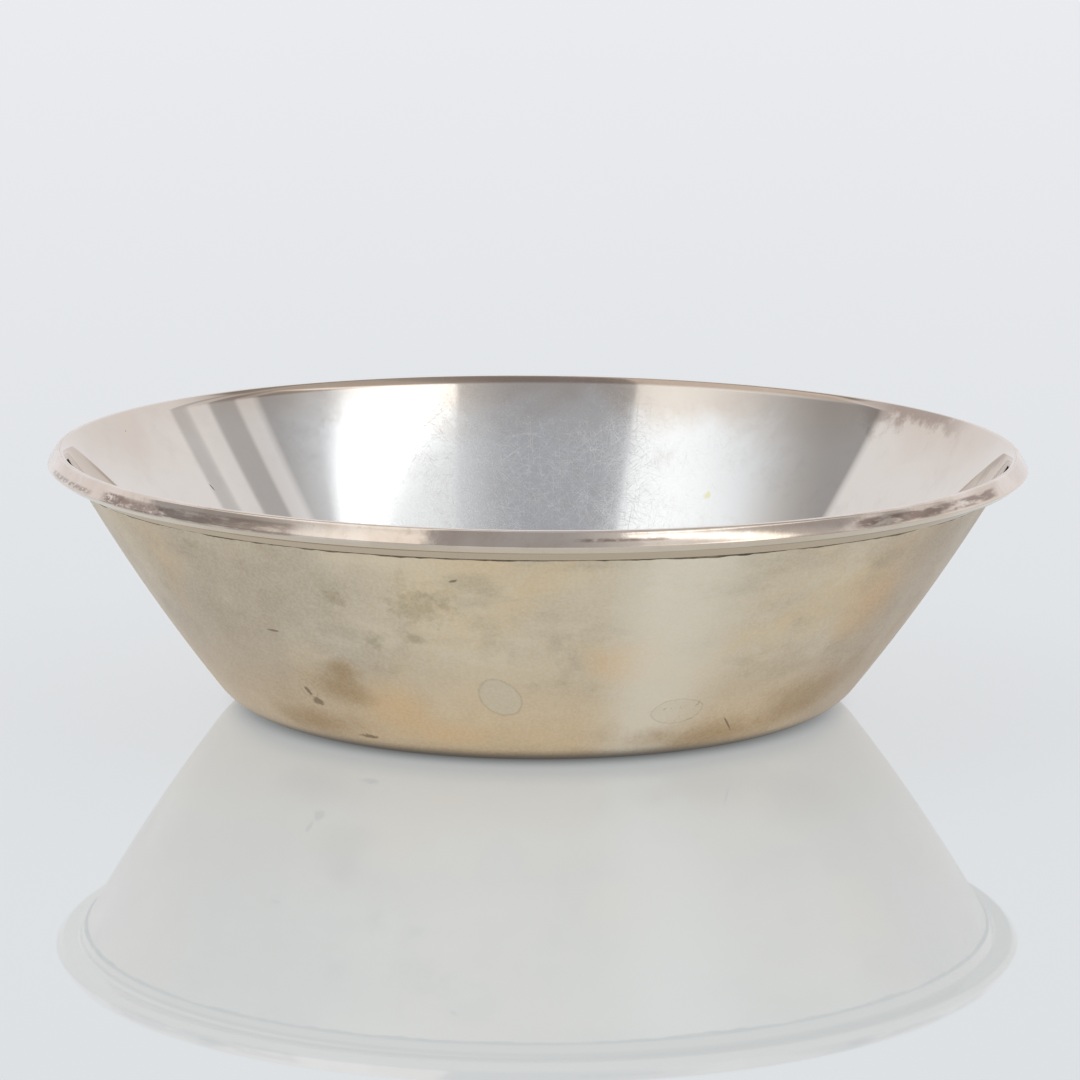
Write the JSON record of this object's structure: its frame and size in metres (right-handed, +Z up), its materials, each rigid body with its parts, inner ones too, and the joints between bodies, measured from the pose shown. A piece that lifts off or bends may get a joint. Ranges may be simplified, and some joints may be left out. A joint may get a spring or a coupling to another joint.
{
  "type": "offering bowl",
  "caption": "Wide flaring bowl of spun, silver-plated metal with a rounded heel and a moulded rim soldered under its turned-out lip, for holding and presenting offerings.",
  "frame": {"origin": "centre of the standing ring, on the surface that the bowl rests on", "axes": "+Z up along the bowl's axis; the bowl is round, so X and Y are free, and -Y faces the viewer"},
  "size_m": [0.2538, 0.2538, 0.0668],
  "materials": {
    "plated_body": "worn silver plate with warm tarnish, satin outside and scratched polish inside",
    "plated_rim": "polished silver plate with brown tarnish and dark spots",
    "solder": "dark tarnished soft solder"
  },
  "bodies": {
    "root": {"bowl_body": "plated_body", "rim_mount": "plated_rim", "rim_solder": "solder"}
  },
  "joints": []
}
